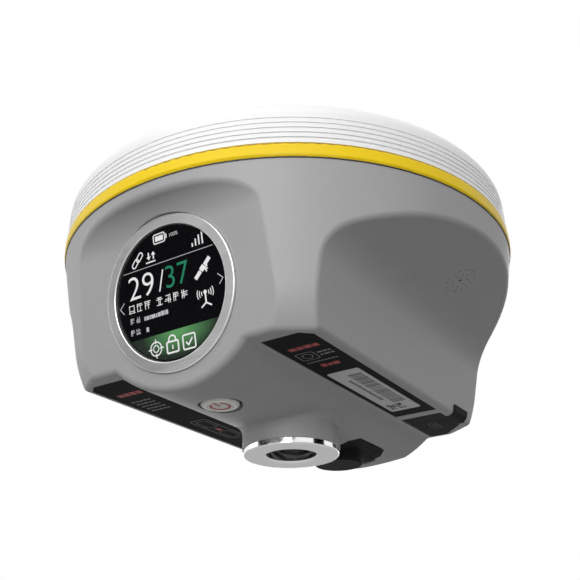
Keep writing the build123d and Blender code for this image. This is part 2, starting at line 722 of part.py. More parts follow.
# ---- port cover and port ---------------------------------------------------------------------------
with BuildPart() as usb_cover:
    extrude(usb_outline(0), amount=usb_height)
    hinge_edges = [e for e in usb_cover.edges() if abs(e.center().X - usb_x[0]) < 0.01
                   and e.bounding_box().size.Y > 5]
    fillet(hinge_edges, usb_height / 2 - 0.05)
    tab_part = usb_tab_section(0).moved(Location((0, tab_mid, 0)))
    extrude(tab_part, amount=(usb_tab_y[1] - usb_tab_y[0]) / 2, both=True)
    with BuildSketch(Plane.XZ.offset(-above)):
        with Locations((usb_hinge_x, usb_hinge_z)):
            Circle(pin_radius + pin_gap)
    extrude(amount=2 * above, mode=Mode.SUBTRACT)
save(usb_cover.part, "usb_cover")

usb_pin_ends = (usb_y[0] - cover_gap - pin_grip + fit, usb_y[1] + cover_gap + pin_grip - fit)
with BuildPart() as usb_pin:
    with BuildSketch(Plane.XZ.offset(-usb_pin_ends[1])):
        with Locations((usb_hinge_x, usb_hinge_z)):
            Circle(pin_radius)
    extrude(amount=usb_pin_ends[1] - usb_pin_ends[0])
save(usb_pin.part, "usb_cover_pin")

with BuildPart() as usb_board:
    with BuildSketch(Plane.XY.offset(usb_board_z)):
        with Locations(usb_board_at):
            RectangleRounded(usb_board_size[0], usb_board_size[1], 1.0)
        with Locations(*usb_bolts):
            Circle(small_screw[0] + pin_gap, mode=Mode.SUBTRACT)
    extrude(amount=usb_board_size[2])
save(usb_board.part, "usb_board")
small_screws(usb_bolts, usb_board_z + usb_board_size[2], usb_board_size[2] + 2.5, "usb_board_screws")

with BuildPart() as usb_socket_shell:
    with BuildSketch(Plane.XY.offset(usb_socket[2])):
        with Locations(usb_port):
            RectangleRounded(usb_socket[0], usb_socket[1], 1.2)
    extrude(amount=usb_board_z - usb_socket[2])
    with BuildSketch(Plane.XY.offset(usb_socket[2])):
        with Locations(usb_port):
            RectangleRounded(usb_socket[0] - 0.8, usb_socket[1] - 0.8, 0.9)
            Rectangle(usb_socket[0] - 2.4, 0.8, mode=Mode.SUBTRACT)
    extrude(amount=4.5, mode=Mode.SUBTRACT)
save(usb_socket_shell.part, "usb_connector")

# ---- rear cover and aerial socket --------------------------------------------------------------------
with BuildPart() as belly:
    extrude(belly_section(0), amount=above, both=True)

with BuildPart() as rear_cover:
    extrude(rear_outline(0), amount=rear_inner_z)
    with BuildSketch(Plane.YZ):
        with Locations(rear_hinge):
            Circle(rear_hinge_radius)
    extrude(amount=rear_knuckle, both=True)
    add(belly.part, mode=Mode.INTERSECT)
    with Locations((0, rear_bulge_y, rear_bulge_z)):
        Cylinder(rear_bulge_radius, rear_inner_z - rear_bulge_z, align=low)
    fillet(rear_cover.edges().group_by(Axis.Z)[0], 0.9)
    with Locations((0, rear_bulge_y, rear_open_z)):
        Cylinder(rear_open_radius, 10, align=low, mode=Mode.SUBTRACT)
    with BuildSketch(Plane.YZ):
        with Locations(rear_hinge):
            Circle(pin_radius + pin_gap)
    extrude(amount=above, both=True, mode=Mode.SUBTRACT)
save(rear_cover.part, "rear_cover")

with BuildPart() as rear_pin:
    with BuildSketch(Plane.YZ):
        with Locations(rear_hinge):
            Circle(pin_radius)
    extrude(amount=rear_knuckle + cover_gap + pin_grip - fit, both=True)
save(rear_pin.part, "rear_cover_pin")
save(anchor_form(0), "rear_cover_shoulders")

with BuildPart() as aerial_socket:
    with Locations((0, rear_bulge_y, socket_barrel[1])):
        Cylinder(socket_barrel[0], rear_pad_z - socket_barrel[1], align=low)
    with BuildSketch(Plane.XY.offset(rear_pad_z)):
        with Locations((0, rear_bulge_y)):
            RegularPolygon(socket_flange[0], 6)
    extrude(amount=socket_flange[1])
    with Locations((0, rear_bulge_y, rear_pad_z + socket_flange[1])):
        Cylinder(socket_stub[0], socket_stub[1], align=low)
    with BuildSketch(Plane.XY.offset(socket_barrel[1])):
        with Locations((0, rear_bulge_y)):
            Circle(3.9)
            Circle(1.6, mode=Mode.SUBTRACT)
    extrude(amount=6, mode=Mode.SUBTRACT)
save(aerial_socket.part, "antenna_connector")

# ---- speaker -------------------------------------------------------------------------------------
speaker_seat_plane = speaker_plane.offset(-(wall + 0.5))
with BuildPart() as speaker_ring:
    with BuildSketch(speaker_seat_plane):
        Circle(speaker_radius)
        Circle(speaker_gasket[0], mode=Mode.SUBTRACT)
    extrude(amount=-speaker_gasket[1])
save(speaker_ring.part, "speaker_gasket")

with BuildPart() as speaker:
    with BuildSketch(speaker_seat_plane.offset(-speaker_gasket[1])):
        Circle(speaker_radius)
    extrude(amount=-speaker_height)
save(speaker.part, "speaker")

# ---- battery -------------------------------------------------------------------------------------
cell_step = cell_radius + fit
tray_inner = (2 * (cell_radius + cell_step), cell_length + 2 * fit)
tray_outer = (tray_inner[0] + 2 * tray_sheet, tray_inner[1] + 2 * tray_sheet)
with BuildPart() as tray:
    with BuildSketch(Plane.XY.offset(tray_z)):
        Rectangle(*tray_outer)
        for y in (-tray_ear[1], tray_ear[1]):
            with Locations((0, y)):
                SlotCenterToCenter(2 * tray_ear[0], 6.4)
        with Locations(*ear_places):
            Circle(small_screw[0] + pin_gap, mode=Mode.SUBTRACT)
    extrude(amount=tray_sheet)
    with BuildSketch(Plane.XY.offset(tray_z)):
        Rectangle(*tray_outer)
        Rectangle(*tray_inner, mode=Mode.SUBTRACT)
    extrude(amount=tray_wall_z - tray_z)
save(tray.part, "battery_tray")
small_screws(ear_places, tray_z + tray_sheet, tray_sheet + 2.4, "tray_screws")

with BuildPart() as cells:
    with BuildSketch(Plane.XZ.offset(-cell_length / 2)):
        with Locations(*[(x, tray_z + tray_sheet + cell_radius) for x in (-cell_step, cell_step)]):
            Circle(cell_radius)
    extrude(amount=cell_length)
save(cells.part, "battery_cells")

# ---- main board ------------------------------------------------------------------------------------
with BuildPart() as board:
    with BuildSketch(Plane.XY.offset(board_z)):
        with Locations((0, (board_y[0] + board_y[1]) / 2)):
            RectangleRounded(2 * board_x, board_y[1] - board_y[0], 3.0)
        with Locations(*post_places):
            Circle(post_radius + 0.6, mode=Mode.SUBTRACT)
        with Locations(*stand_places):
            Circle(small_screw[0] + pin_gap, mode=Mode.SUBTRACT)
    extrude(amount=board_height)
save(board.part, "mainboard")

board_top = board_z + board_height
with BuildPart() as stands:
    with Locations(*[(x, y, stand_foot_z) for x, y in stand_places]):
        Cylinder(stand_radius, board_z - stand_foot_z, align=low)
        Cylinder(1.25, 3, align=(Align.CENTER, Align.CENTER, Align.MAX))
    with Locations(*[(x, y, board_z) for x, y in stand_places]):
        Cylinder(small_screw[0] + pin_gap, 6, align=(Align.CENTER, Align.CENTER, Align.MAX),
                 mode=Mode.SUBTRACT)
save(stands.part, "board_standoffs")
small_screws(stand_places, board_top, board_height + 5, "board_screws")

with BuildPart() as gnss:
    with Locations((0, -10, board_top)):
        Box(32, 30, 3.2, align=low)
save(gnss.part, "gnss_module")

with BuildPart() as radio:
    with Locations((0, 30, board_top)):
        Box(40, 24, 4.0, align=low)
save(radio.part, "radio_module")

# ---- antenna -------------------------------------------------------------------------------------
plate_top = post_top_z + plate_height
with BuildPart() as plate:
    with BuildSketch(Plane.XY.offset(post_top_z)):
        Circle(plate_radius)
        with Locations(*post_places):
            Circle(screw_radius + 0.2, mode=Mode.SUBTRACT)
    extrude(amount=plate_height)
save(plate.part, "antenna_plate")

with BuildPart() as patch_one:
    with Locations((0, 0, plate_top)):
        Cylinder(patch_low[0], patch_low[1], align=low)
save(patch_one.part, "antenna_patch_low")

with BuildPart() as patch_two:
    with Locations((0, 0, plate_top + patch_low[1])):
        Cylinder(patch_high[0], patch_high[1], align=low)
save(patch_two.part, "antenna_patch_high")

with BuildPart() as lna:
    with Locations((0, 0, post_top_z)):
        Box(*lna_size, align=(Align.CENTER, Align.CENTER, Align.MAX))
save(lna.part, "lna_shield")

coax_z = (board_top + 3.2, post_top_z - lna_size[2])
with BuildPart() as coax:
    with Locations((8, -14, coax_z[0])):
        Cylinder(1.4, coax_z[1] - coax_z[0], align=low)
save(coax.part, "antenna_coax")

# ---- casing screws -------------------------------------------------------------------------------
with BuildPart() as casing_screws:
    with Locations(*[(x, y, screw_seat_z) for x, y in post_places]):
        Cylinder(screw_head[0], screw_head[1], align=(Align.CENTER, Align.CENTER, Align.MAX))
        Cylinder(screw_radius, screw_length, align=low)
save(casing_screws.part, "casing_screws")
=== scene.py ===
import json
import math
import random

import bmesh
import bpy
from mathutils import Matrix, Vector


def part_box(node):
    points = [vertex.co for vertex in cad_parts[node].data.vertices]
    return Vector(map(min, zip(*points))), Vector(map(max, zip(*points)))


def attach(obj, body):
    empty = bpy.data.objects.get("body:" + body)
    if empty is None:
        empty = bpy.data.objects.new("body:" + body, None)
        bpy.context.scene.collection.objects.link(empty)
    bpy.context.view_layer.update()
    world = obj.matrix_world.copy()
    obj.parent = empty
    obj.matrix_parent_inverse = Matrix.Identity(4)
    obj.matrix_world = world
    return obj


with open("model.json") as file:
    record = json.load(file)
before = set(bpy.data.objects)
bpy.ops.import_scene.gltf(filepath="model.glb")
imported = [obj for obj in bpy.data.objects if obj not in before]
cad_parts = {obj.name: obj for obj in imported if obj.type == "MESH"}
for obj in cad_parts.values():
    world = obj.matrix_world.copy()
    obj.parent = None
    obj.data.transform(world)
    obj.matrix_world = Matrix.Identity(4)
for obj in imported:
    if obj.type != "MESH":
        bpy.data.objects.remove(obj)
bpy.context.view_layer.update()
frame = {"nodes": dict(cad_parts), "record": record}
scene = bpy.context.scene
MM = 0.001  # one millimetre in metres


# ---- shared shader effects ------------------------------------------------------------------------
def start_group(name, inputs, outputs):
    """An empty shader node group with these sockets, with its input and output nodes."""
    group = bpy.data.node_groups.new(name, "ShaderNodeTree")
    kinds = {"colour": "NodeSocketColor", "number": "NodeSocketFloat"}
    for label, kind in inputs:
        group.interface.new_socket(name=label, in_out="INPUT", socket_type=kinds[kind])
    for label, kind in outputs:
        group.interface.new_socket(name=label, in_out="OUTPUT", socket_type=kinds[kind])
    return group, group.nodes.new("NodeGroupInput"), group.nodes.new("NodeGroupOutput")


def surface_group(name, coordinates):
    """A finish whose colour, roughness and height follow a fine and a broad noise.

    coordinates(nodes, links) puts in the nodes that shape the fine noise's space.
    """
    group, given, out = start_group(
        name,
        [("Colour", "colour"), ("Second Colour", "colour"), ("Fine Scale", "number"),
         ("Broad Scale", "number"), ("Smoothest", "number"), ("Roughest", "number")],
        [("Colour", "colour"), ("Roughness", "number"), ("Height", "number")])
    nodes, links = group.nodes, group.links
    fine_share = 0.45
    space = coordinates(nodes, links)
    fine = nodes.new("ShaderNodeTexNoise")
    fine.inputs["Detail"].default_value = 2.0
    broad = nodes.new("ShaderNodeTexNoise")
    broad.inputs["Detail"].default_value = 3.0
    links.new(space, fine.inputs["Vector"])
    links.new(given.outputs["Fine Scale"], fine.inputs["Scale"])
    where = nodes.new("ShaderNodeTexCoord")
    links.new(where.outputs["Object"], broad.inputs["Vector"])
    links.new(given.outputs["Broad Scale"], broad.inputs["Scale"])
    both = nodes.new("ShaderNodeMath")
    both.operation = "MULTIPLY_ADD"
    both.inputs[1].default_value = fine_share
    links.new(fine.outputs["Fac"], both.inputs[0])
    broad_part = nodes.new("ShaderNodeMath")
    broad_part.operation = "MULTIPLY"
    broad_part.inputs[1].default_value = 1 - fine_share
    links.new(broad.outputs["Fac"], broad_part.inputs[0])
    links.new(broad_part.outputs[0], both.inputs[2])
    spread = nodes.new("ShaderNodeMapRange")
    spread.inputs["From Min"].default_value = 0.3
    spread.inputs["From Max"].default_value = 0.7
    links.new(both.outputs[0], spread.inputs["Value"])
    blend = nodes.new("ShaderNodeMix")
    blend.data_type = "RGBA"
    links.new(spread.outputs["Result"], blend.inputs["Factor"])
    links.new(given.outputs["Colour"], blend.inputs["A"])
    links.new(given.outputs["Second Colour"], blend.inputs["B"])
    links.new(blend.outputs["Result"], out.inputs["Colour"])
    rough = nodes.new("ShaderNodeMapRange")
    links.new(spread.outputs["Result"], rough.inputs["Value"])
    links.new(given.outputs["Smoothest"], rough.inputs["To Min"])
    links.new(given.outputs["Roughest"], rough.inputs["To Max"])
    links.new(rough.outputs["Result"], out.inputs["Roughness"])
    links.new(fine.outputs["Fac"], out.inputs["Height"])
    return group


def even_space(nodes, links):
    """The piece's own coordinates, as they are."""
    return nodes.new("ShaderNodeTexCoord").outputs["Object"]


def brushed_space(nodes, links):
    """The piece's own coordinates, squeezed so that the noise runs in lines along X."""
    where = nodes.new("ShaderNodeTexCoord")
    squeeze = nodes.new("ShaderNodeMapping")
    squeeze.inputs["Scale"].default_value = (0.02, 1.0, 1.0)
    links.new(where.outputs["Object"], squeeze.inputs["Vector"])
    return squeeze.outputs["Vector"]


def turned_space(nodes, links):
    """Distance from the Z axis and height, so that the noise runs in turned rings."""
    where = nodes.new("ShaderNodeTexCoord")
    parts = nodes.new("ShaderNodeSeparateXYZ")
    links.new(where.outputs["Object"], parts.inputs["Vector"])
    flat = nodes.new("ShaderNodeCombineXYZ")
    links.new(parts.outputs["X"], flat.inputs["X"])
    links.new(parts.outputs["Y"], flat.inputs["Y"])
    reach = nodes.new("ShaderNodeVectorMath")
    reach.operation = "LENGTH"
    links.new(flat.outputs["Vector"], reach.inputs[0])
    rings = nodes.new("ShaderNodeCombineXYZ")
    links.new(reach.outputs["Value"], rings.inputs["X"])
    links.new(parts.outputs["Z"], rings.inputs["Y"])
    return rings.outputs["Vector"]


moulded_grain = surface_group("moulded grain", even_space)
brushed_lines = surface_group("brushed lines", brushed_space)
turned_rings = surface_group("turned rings", turned_space)


def finish(name, effect, colour, second, fine, broad, smoothest, roughest, bump, metallic=0.0, **sockets):
    """A material whose colour, roughness and bump come from one of the shared effects."""
    material = bpy.data.materials.new(name)
    material.use_nodes = True
    nodes, links = material.node_tree.nodes, material.node_tree.links
    shader = nodes["Principled BSDF"]
    look = nodes.new("ShaderNodeGroup")
    look.node_tree = effect
    look.inputs["Colour"].default_value = (*colour, 1)
    look.inputs["Second Colour"].default_value = (*second, 1)
    look.inputs["Fine Scale"].default_value = fine
    look.inputs["Broad Scale"].default_value = broad
    look.inputs["Smoothest"].default_value = smoothest
    look.inputs["Roughest"].default_value = roughest
    links.new(look.outputs["Colour"], shader.inputs["Base Color"])
    links.new(look.outputs["Roughness"], shader.inputs["Roughness"])
    relief = nodes.new("ShaderNodeBump")
    relief.inputs["Strength"].default_value = 1.0
    relief.inputs["Distance"].default_value = bump * MM
    links.new(look.outputs["Height"], relief.inputs["Height"])
    links.new(relief.outputs["Normal"], shader.inputs["Normal"])
    shader.inputs["Metallic"].default_value = metallic
    for socket, value in sockets.items():
        shader.inputs[socket.replace("_", " ")].default_value = value
    material.diffuse_color = (*colour, 1)
    return material


# The frame's plain materials go first, so that the finishes below can carry the same names.
for plain in list(bpy.data.materials):
    bpy.data.materials.remove(plain)


def grey(value):
    return (value, value, value)


# One finish for each material slot in the record. The nodes below find theirs by the slot's name.
finish("casing_grey", moulded_grain, (0.395, 0.391, 0.396), (0.425, 0.421, 0.426),
       3200, 60, 0.40, 0.47, 0.006, Specular_IOR_Level=0.35)
finish("dome_white", moulded_grain, (0.90, 0.90, 0.90), (0.93, 0.93, 0.93),
       2600, 40, 0.30, 0.36, 0.003)
finish("band_yellow", moulded_grain, (0.92, 0.64, 0.008), (0.95, 0.68, 0.010),
       2600, 50, 0.34, 0.42, 0.003, Specular_IOR_Level=0.25)
finish("insert_chrome", turned_rings, (0.86, 0.87, 0.88), (0.90, 0.90, 0.90),
       9000, 90, 0.06, 0.14, 0.0015, metallic=1.0)
finish("nut_brass", turned_rings, (0.66, 0.47, 0.16), (0.72, 0.53, 0.2), 7000, 90, 0.25, 0.4,
       0.003, metallic=1.0)
seal_rubber = finish("seal_rubber", moulded_grain, grey(0.012), grey(0.018), 3000, 80, 0.6, 0.75, 0.004)
finish("cover_rubber", moulded_grain, (0.011, 0.0115, 0.012), (0.02, 0.02, 0.021),
       3400, 90, 0.50, 0.66, 0.010, Specular_IOR_Level=0.06)
bezel_silver = finish("bezel_silver", brushed_lines, (0.80, 0.80, 0.795), (0.90, 0.90, 0.895),
                      2600, 30, 0.30, 0.44, 0.004, metallic=0.9)
finish("panel_dark", moulded_grain, (0.006, 0.006, 0.008), (0.008, 0.008, 0.010),
       5000, 60, 0.30, 0.35, 0.0005, Specular_IOR_Level=0.0)
finish("button_pearl", moulded_grain, (0.60, 0.59, 0.54), (0.68, 0.67, 0.62),
       7000, 150, 0.28, 0.38, 0.002, metallic=0.35)
finish("label_black", moulded_grain, (0.010, 0.010, 0.011), (0.014, 0.014, 0.015),
       5200, 60, 0.50, 0.60, 0.002, Specular_IOR_Level=0.03)
finish("sticker_white", moulded_grain, (0.66, 0.66, 0.65), (0.70, 0.70, 0.69),
       4200, 90, 0.45, 0.55, 0.003)
finish("board_green", moulded_grain, (0.01, 0.09, 0.03), (0.015, 0.12, 0.04),
       900, 120, 0.3, 0.45, 0.01)
finish("module_shield", brushed_lines, grey(0.58), grey(0.66), 2200, 60, 0.28, 0.42, 0.004,
       metallic=1.0)
finish("screw_steel", turned_rings, grey(0.50), grey(0.58), 6000, 90, 0.25, 0.4, 0.003,
       metallic=1.0)
finish("standoff_brass", turned_rings, (0.62, 0.45, 0.16), (0.7, 0.52, 0.2),
       6000, 90, 0.25, 0.4, 0.003, metallic=1.0)
finish("connector_steel", brushed_lines, grey(0.55), grey(0.62), 2600, 60, 0.25, 0.35,
       0.003, metallic=1.0)
finish("bracket_steel", brushed_lines, grey(0.45), grey(0.52), 2400, 60, 0.35, 0.5, 0.005,
       metallic=1.0)
finish("plate_aluminium", turned_rings, grey(0.66), grey(0.72), 2400, 60, 0.3, 0.42,
       0.004, metallic=1.0)
finish("patch_ceramic", moulded_grain, (0.62, 0.58, 0.48), (0.68, 0.64, 0.54),
       1800, 80, 0.55, 0.7, 0.01)
finish("tray_black", moulded_grain, grey(0.016), grey(0.024), 2600, 60, 0.5, 0.65, 0.008)
finish("cell_wrap", moulded_grain, (0.03, 0.10, 0.34), (0.04, 0.12, 0.38), 1500, 50, 0.25,
       0.35, 0.003)
finish("speaker_black", moulded_grain, grey(0.012), grey(0.02), 2600, 60, 0.5, 0.65, 0.008)
finish("switch_black", moulded_grain, grey(0.014), grey(0.022), 2600, 60, 0.4, 0.55, 0.006)
finish("ribbon_amber", brushed_lines, (0.34, 0.14, 0.02), (0.42, 0.19, 0.03), 2000, 60,
       0.25, 0.35, 0.002)
finish("coax_brown", moulded_grain, (0.07, 0.03, 0.012), (0.09, 0.04, 0.02), 2200, 60, 0.35,
       0.5, 0.004)
finish("lens_glass", moulded_grain, (0.004, 0.004, 0.005), (0.006, 0.006, 0.007), 300, 60,
       0.02, 0.05, 0.0002, Alpha=0.10)

# The thread's steel is far darker than the insert's chrome: painted shade for the dark inside of the bore.
thread_steel_painted_shade = finish("thread_steel_painted_shade", turned_rings, grey(0.10), grey(0.16), 6000, 90, 0.16, 0.28, 0.003,
                      metallic=1.0)
print_grey = finish("print_grey", moulded_grain, grey(0.16), grey(0.20), 5000, 60, 0.4, 0.5, 0.001)
print_red = finish("print_red", moulded_grain, (0.36, 0.012, 0.012), (0.42, 0.016, 0.016), 5000, 60, 0.4,
                   0.5, 0.001)
print_black = finish("print_black", moulded_grain, grey(0.03), grey(0.04), 5000, 60, 0.4, 0.5, 0.001)
symbol_red = finish("symbol_red", moulded_grain, (0.36, 0.015, 0.02), (0.42, 0.02, 0.025), 5000, 60, 0.35,
                    0.45, 0.001)
mark_grey = finish("mark_grey", moulded_grain, grey(0.05), grey(0.06), 5000, 60, 0.5, 0.6, 0.001)


def lit(name, colour, strength):
    """A display colour: it glows by itself, a little uneven from cell to cell."""
    material = finish(name, moulded_grain, tuple(0.2 * c for c in colour), tuple(0.25 * c for c in colour),
                      8000, 60, 0.4, 0.5, 0.0005)
    shader = material.node_tree.nodes["Principled BSDF"]
    shader.inputs["Emission Color"].default_value = (*colour, 1)
    shader.inputs["Emission Strength"].default_value = strength
    return material


display_white = lit("display_white", (1.0, 1.0, 1.0), 0.80)
display_dim = lit("display_dim", (0.80, 0.80, 0.82), 0.62)
display_green = lit("display_green", (0.01, 0.26, 0.13), 0.75)

slot_of = {s["node"]: s["material_slot"] for s in frame["record"]["subparts"]}
for name, node in frame["nodes"].items():
    node.data.materials.clear()
    node.data.materials.append(bpy.data.materials[slot_of[name]])


# ---- small flat pieces ----------------------------------------------------------------------------
class Face:
    """A flat place on the receiver: an origin, two directions in it and its outward normal."""

    def __init__(self, origin, across, upward):
        self.origin = Vector(origin)
        self.across = Vector(across).normalized()
        self.upward = Vector(upward).normalized()
        self.out = self.across.cross(self.upward)

    def at(self, x, y, lift=0.0):
        """The point at x and y on the face, raised by lift, all in millimetres."""
        return self.origin + (self.across * x + self.upward * y + self.out * lift) * MM


def stroke(points, width, closed=False):
    """Quads along a line of points, of one width, with mitred corners."""
    line = [Vector(p) for p in points]
    count = len(line)
    left, right = [], []
    for k, here in enumerate(line):
        before = line[k - 1] if closed or k > 0 else here
        after = line[(k + 1) % count] if closed or k < count - 1 else here
        first = (here - before).normalized() if before is not here else (after - here).normalized()
        second = (after - here).normalized() if after is not here else first
        bisect = first + second
        bisect = bisect.normalized() if bisect.length > 1e-6 else second
        side = Vector((-bisect.y, bisect.x))
        stretch = max(0.35, abs(bisect.dot(first)))
        left.append(here + side * (width / 2 / stretch))
        right.append(here - side * (width / 2 / stretch))
    last = count if closed else count - 1
    return [[left[k], right[k], right[(k + 1) % count], left[(k + 1) % count]] for k in range(last)]


def arc(x, y, radius, start, end, steps=24):
    """Points along an arc, angles in degrees."""
    return [(x + radius * math.cos(math.radians(start + (end - start) * k / steps)),
             y + radius * math.sin(math.radians(start + (end - start) * k / steps)))
            for k in range(steps + 1)]


def ring(x, y, radius, width, steps=40):
    """A closed circular line."""
    return stroke(arc(x, y, radius, 0, 360, steps)[:-1], width, closed=True)


def bar(x0, y0, x1, y1):
    """A filled rectangle from one corner to the other."""
    return [[(x0, y0), (x1, y0), (x1, y1), (x0, y1)]]


def rounded(x0, y0, x1, y1, corner, steps=6):
    """Outline of a rectangle with round corners."""
    points = []
    for cx, cy, start in ((x1 - corner, y1 - corner, 0), (x0 + corner, y1 - corner, 90),
                          (x0 + corner, y0 + corner, 180), (x1 - corner, y0 + corner, 270)):
        points += arc(cx, cy, corner, start, start + 90, steps)
    return points


def turned(shapes, x, y, degrees, scale=1.0):
    """Shapes turned about the origin, scaled and then moved."""
    c, s = math.cos(math.radians(degrees)) * scale, math.sin(math.radians(degrees)) * scale
    return [[(x + c * p[0] - s * p[1], y + s * p[0] + c * p[1]) for p in shape] for shape in shapes]


def printed(name, face, shapes, material, body, lift=0.02, height=0.02):
    """Flat shapes laid on a face as one thin piece that rides on a body."""
    mesh = bpy.data.meshes.new(name)
    form = bmesh.new()
    for shape in shapes:
        low = [form.verts.new(face.at(p[0], p[1], lift)) for p in shape]
        high = [form.verts.new(face.at(p[0], p[1], lift + height)) for p in shape]
        form.faces.new(high)
        form.faces.new(list(reversed(low)))
        for k in range(len(shape)):
            form.faces.new((low[k], low[(k + 1) % len(shape)], high[(k + 1) % len(shape)], high[k]))
    bmesh.ops.recalc_face_normals(form, faces=form.faces)
    form.to_mesh(mesh)
    form.free()
    mesh.materials.append(material)
    piece = bpy.data.objects.new(name, mesh)
    scene.collection.objects.link(piece)
    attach(piece, body)
    return piece


def figures(name, face, words, size, x, y, material, body, lift=0.02, stretch=1.0, weight=0.0):
    """Numbers set on a face, from the built-in letters, as one thin piece."""
    curve = bpy.data.curves.new(name, "FONT")
    curve.body = words
    curve.size = size
    curve.offset = weight
    curve.resolution_u = 6
    curve.extrude = 0.012
    writing = bpy.data.objects.new(name + "_curve", curve)
    scene.collection.objects.link(writing)
    mesh = bpy.data.meshes.new_from_object(writing)
    bpy.data.objects.remove(writing)
    bpy.data.curves.remove(curve)
    for vertex in mesh.vertices:
        vertex.co = face.at(x + vertex.co.x * stretch, y + vertex.co.y, lift + vertex.co.z)
    mesh.name = name
    mesh.materials.clear()
    mesh.materials.append(material)
    piece = bpy.data.objects.new(name, mesh)
    scene.collection.objects.link(piece)
    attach(piece, body)
    return piece


def middle(node):
    """The centre of a node's box."""
    low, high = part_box(node)
    return (Vector(low) + Vector(high)) / 2


# ---- the display ----------------------------------------------------------------------------------
screen_lean = 12.6  # degrees
half_lens = 0.35  # half of the lens's height, in millimetres
tilt = math.radians(screen_lean)
screen_out = Vector((0, -math.cos(tilt), -math.sin(tilt)))
screen_up = Vector((0, -math.sin(tilt), math.cos(tilt)))
display = Face(middle("screen_lens") - screen_out * half_lens * MM, (1, 0, 0), screen_up)
under_glass = -0.05  # the art lies this far under the lens, in the gap over the panel

battery = stroke(rounded(-4.0, 15.3, 0.1, 18.0, 0.5), 0.34, closed=True)
battery += bar(-3.4, 15.9, -0.5, 17.4) + bar(0.45, 16.0, 0.85, 17.3)
bars = []
for step, (foot_y, tall) in enumerate(((10.7, 1.1), (10.7, 2.1), (10.75, 2.9), (10.7, 3.6))):
    bars += bar(9.25 + step * 1.18, foot_y, 9.7 + step * 1.18, foot_y + tall)
chain = turned(stroke(rounded(-1.45, -0.72, 1.45, 0.72, 0.7), 0.36, closed=True), -11.45, 11.5, 48)
chain += turned(stroke(rounded(-1.45, -0.72, 1.45, 0.72, 0.7), 0.36, closed=True), -9.75, 13.0, 48)
arrows = bar(-6.6, 11.7, -6.15, 13.5) + [[(-7.15, 12.2), (-6.375, 11.2), (-5.6, 12.2)]]
arrows += bar(-4.85, 11.2, -4.4, 12.8) + [[(-5.4, 12.5), (-3.85, 12.5), (-4.625, 13.5)]]
arrows += bar(-7.5, 10.35, -4.0, 10.75)
craft = turned(bar(-0.8, -0.8, 0.8, 0.8) + bar(-3.7, -0.6, -1.1, 0.6) + bar(1.1, -0.6, 3.7, 0.6)
               + bar(-1.1, -0.14, 1.1, 0.14) + stroke([(0.3, -0.8), (1.0, -1.6)], 0.34)
               + stroke(arc(1.1, -1.7, 0.95, 60, 190, 8), 0.4), 12.0, 3.8, 43)
mast = stroke([(12.0, -3.2), (12.0, -6.2)], 0.5) + stroke([(10.3, -7.1), (12.0, -6.0), (13.8, -7.1)], 0.45)
mast += ring(12.0, -3.0, 0.28, 0.56, 16)
for reach in (1.25, 2.0, 2.75):
    mast += stroke(arc(12.0, -3.3, reach, -28, 28, 8), 0.26)
    mast += stroke(arc(12.0, -3.3, reach, 152, 208, 8), 0.26)
printed("display_icons", display, battery + bars + chain + arrows + craft + mast, display_white,
        "receiver", under_glass)
rule_y = 9.35
rule_radius = 18.8  # the rule ends on this circle
rule_end = math.sqrt(rule_radius ** 2 - rule_y ** 2)
printed("display_lines", display,
        stroke([(-rule_end, rule_y), (rule_end, rule_y)], 0.16)
        + stroke([(-16.9, 1.0), (-18.6, -0.65), (-17.2, -2.3)], 0.24)
        + stroke([(16.7, 1.0), (18.4, -0.6), (17.0, -2.1)], 0.24), display_dim, "receiver", under_glass)
figures("display_charge", display, "100%", 1.55, 1.5, 15.95, display_dim, "receiver", under_glass)
figures("display_count", display, "29", 10.0, -15.2, 1.0, display_white, "receiver", under_glass, 1.03, -0.10)
printed("display_slash", display, stroke([(-3.55, 1.1), (-1.75, 7.2)], 0.42), display_white, "receiver",
        under_glass)
figures("display_total", display, "37", 9.4, -1.6, 1.3, display_green, "receiver", under_glass, 0.95, -0.07)


def dashes(seed, x, y, height, widths, gap):
    """A row of short blocks that stands for a line of small writing."""
    pick = random.Random(seed)
    shapes = []
    for width in widths:
        shapes += bar(x, y, x + width, y + height * pick.uniform(0.8, 1.0))
        x += width + gap
    return shapes


def blocks(seed, x, y, size, count, gap, line=0.2):
    """A row of small framed blocks, each with its own few strokes, that reads as nothing."""
    pick = random.Random(seed)
    shapes = []
    for k in range(count):
        x0 = x + k * (size + gap)
        for height in sorted(pick.sample((0.08, 0.3, 0.5, 0.72, 0.92), 3)):
            inner = pick.uniform(0.0, 0.2) * size
            shapes += bar(x0 + inner, y + height * size - line / 2, x0 + size - inner,
                          y + height * size + line / 2)
        for across in pick.sample((0.15, 0.4, 0.6, 0.85), 2):
            shapes += bar(x0 + across * size - line / 2, y, x0 + across * size + line / 2, y + size)
    return shapes


rows = blocks(1, -15.5, -2.8, 2.45, 3, 0.5) + blocks(2, -5.2, -2.9, 2.45, 4, 0.55)
printed("display_rows", display, rows, display_white, "receiver", under_glass)
small_rows = blocks(3, -15.3, -5.9, 1.7, 2, 0.4, 0.16)
small_rows += dashes(4, -10.0, -5.9, 1.35, (0.5, 1.0, 0.4, 1.5, 0.5, 1.0, 0.9, 0.4, 0.7), 0.22)
small_rows += blocks(5, -15.5, -9.3, 1.7, 2, 0.4, 0.16)
small_rows += dashes(6, -9.6, -9.3, 1.35, (0.9,), 0.3)
printed("display_small_rows", display, small_rows, display_dim, "receiver", under_glass)

band_top = -10.9
band_radius = 18.9
start = math.degrees(math.asin(band_top / band_radius))
segment = arc(0, 0, band_radius, start, -180 - start, 48)


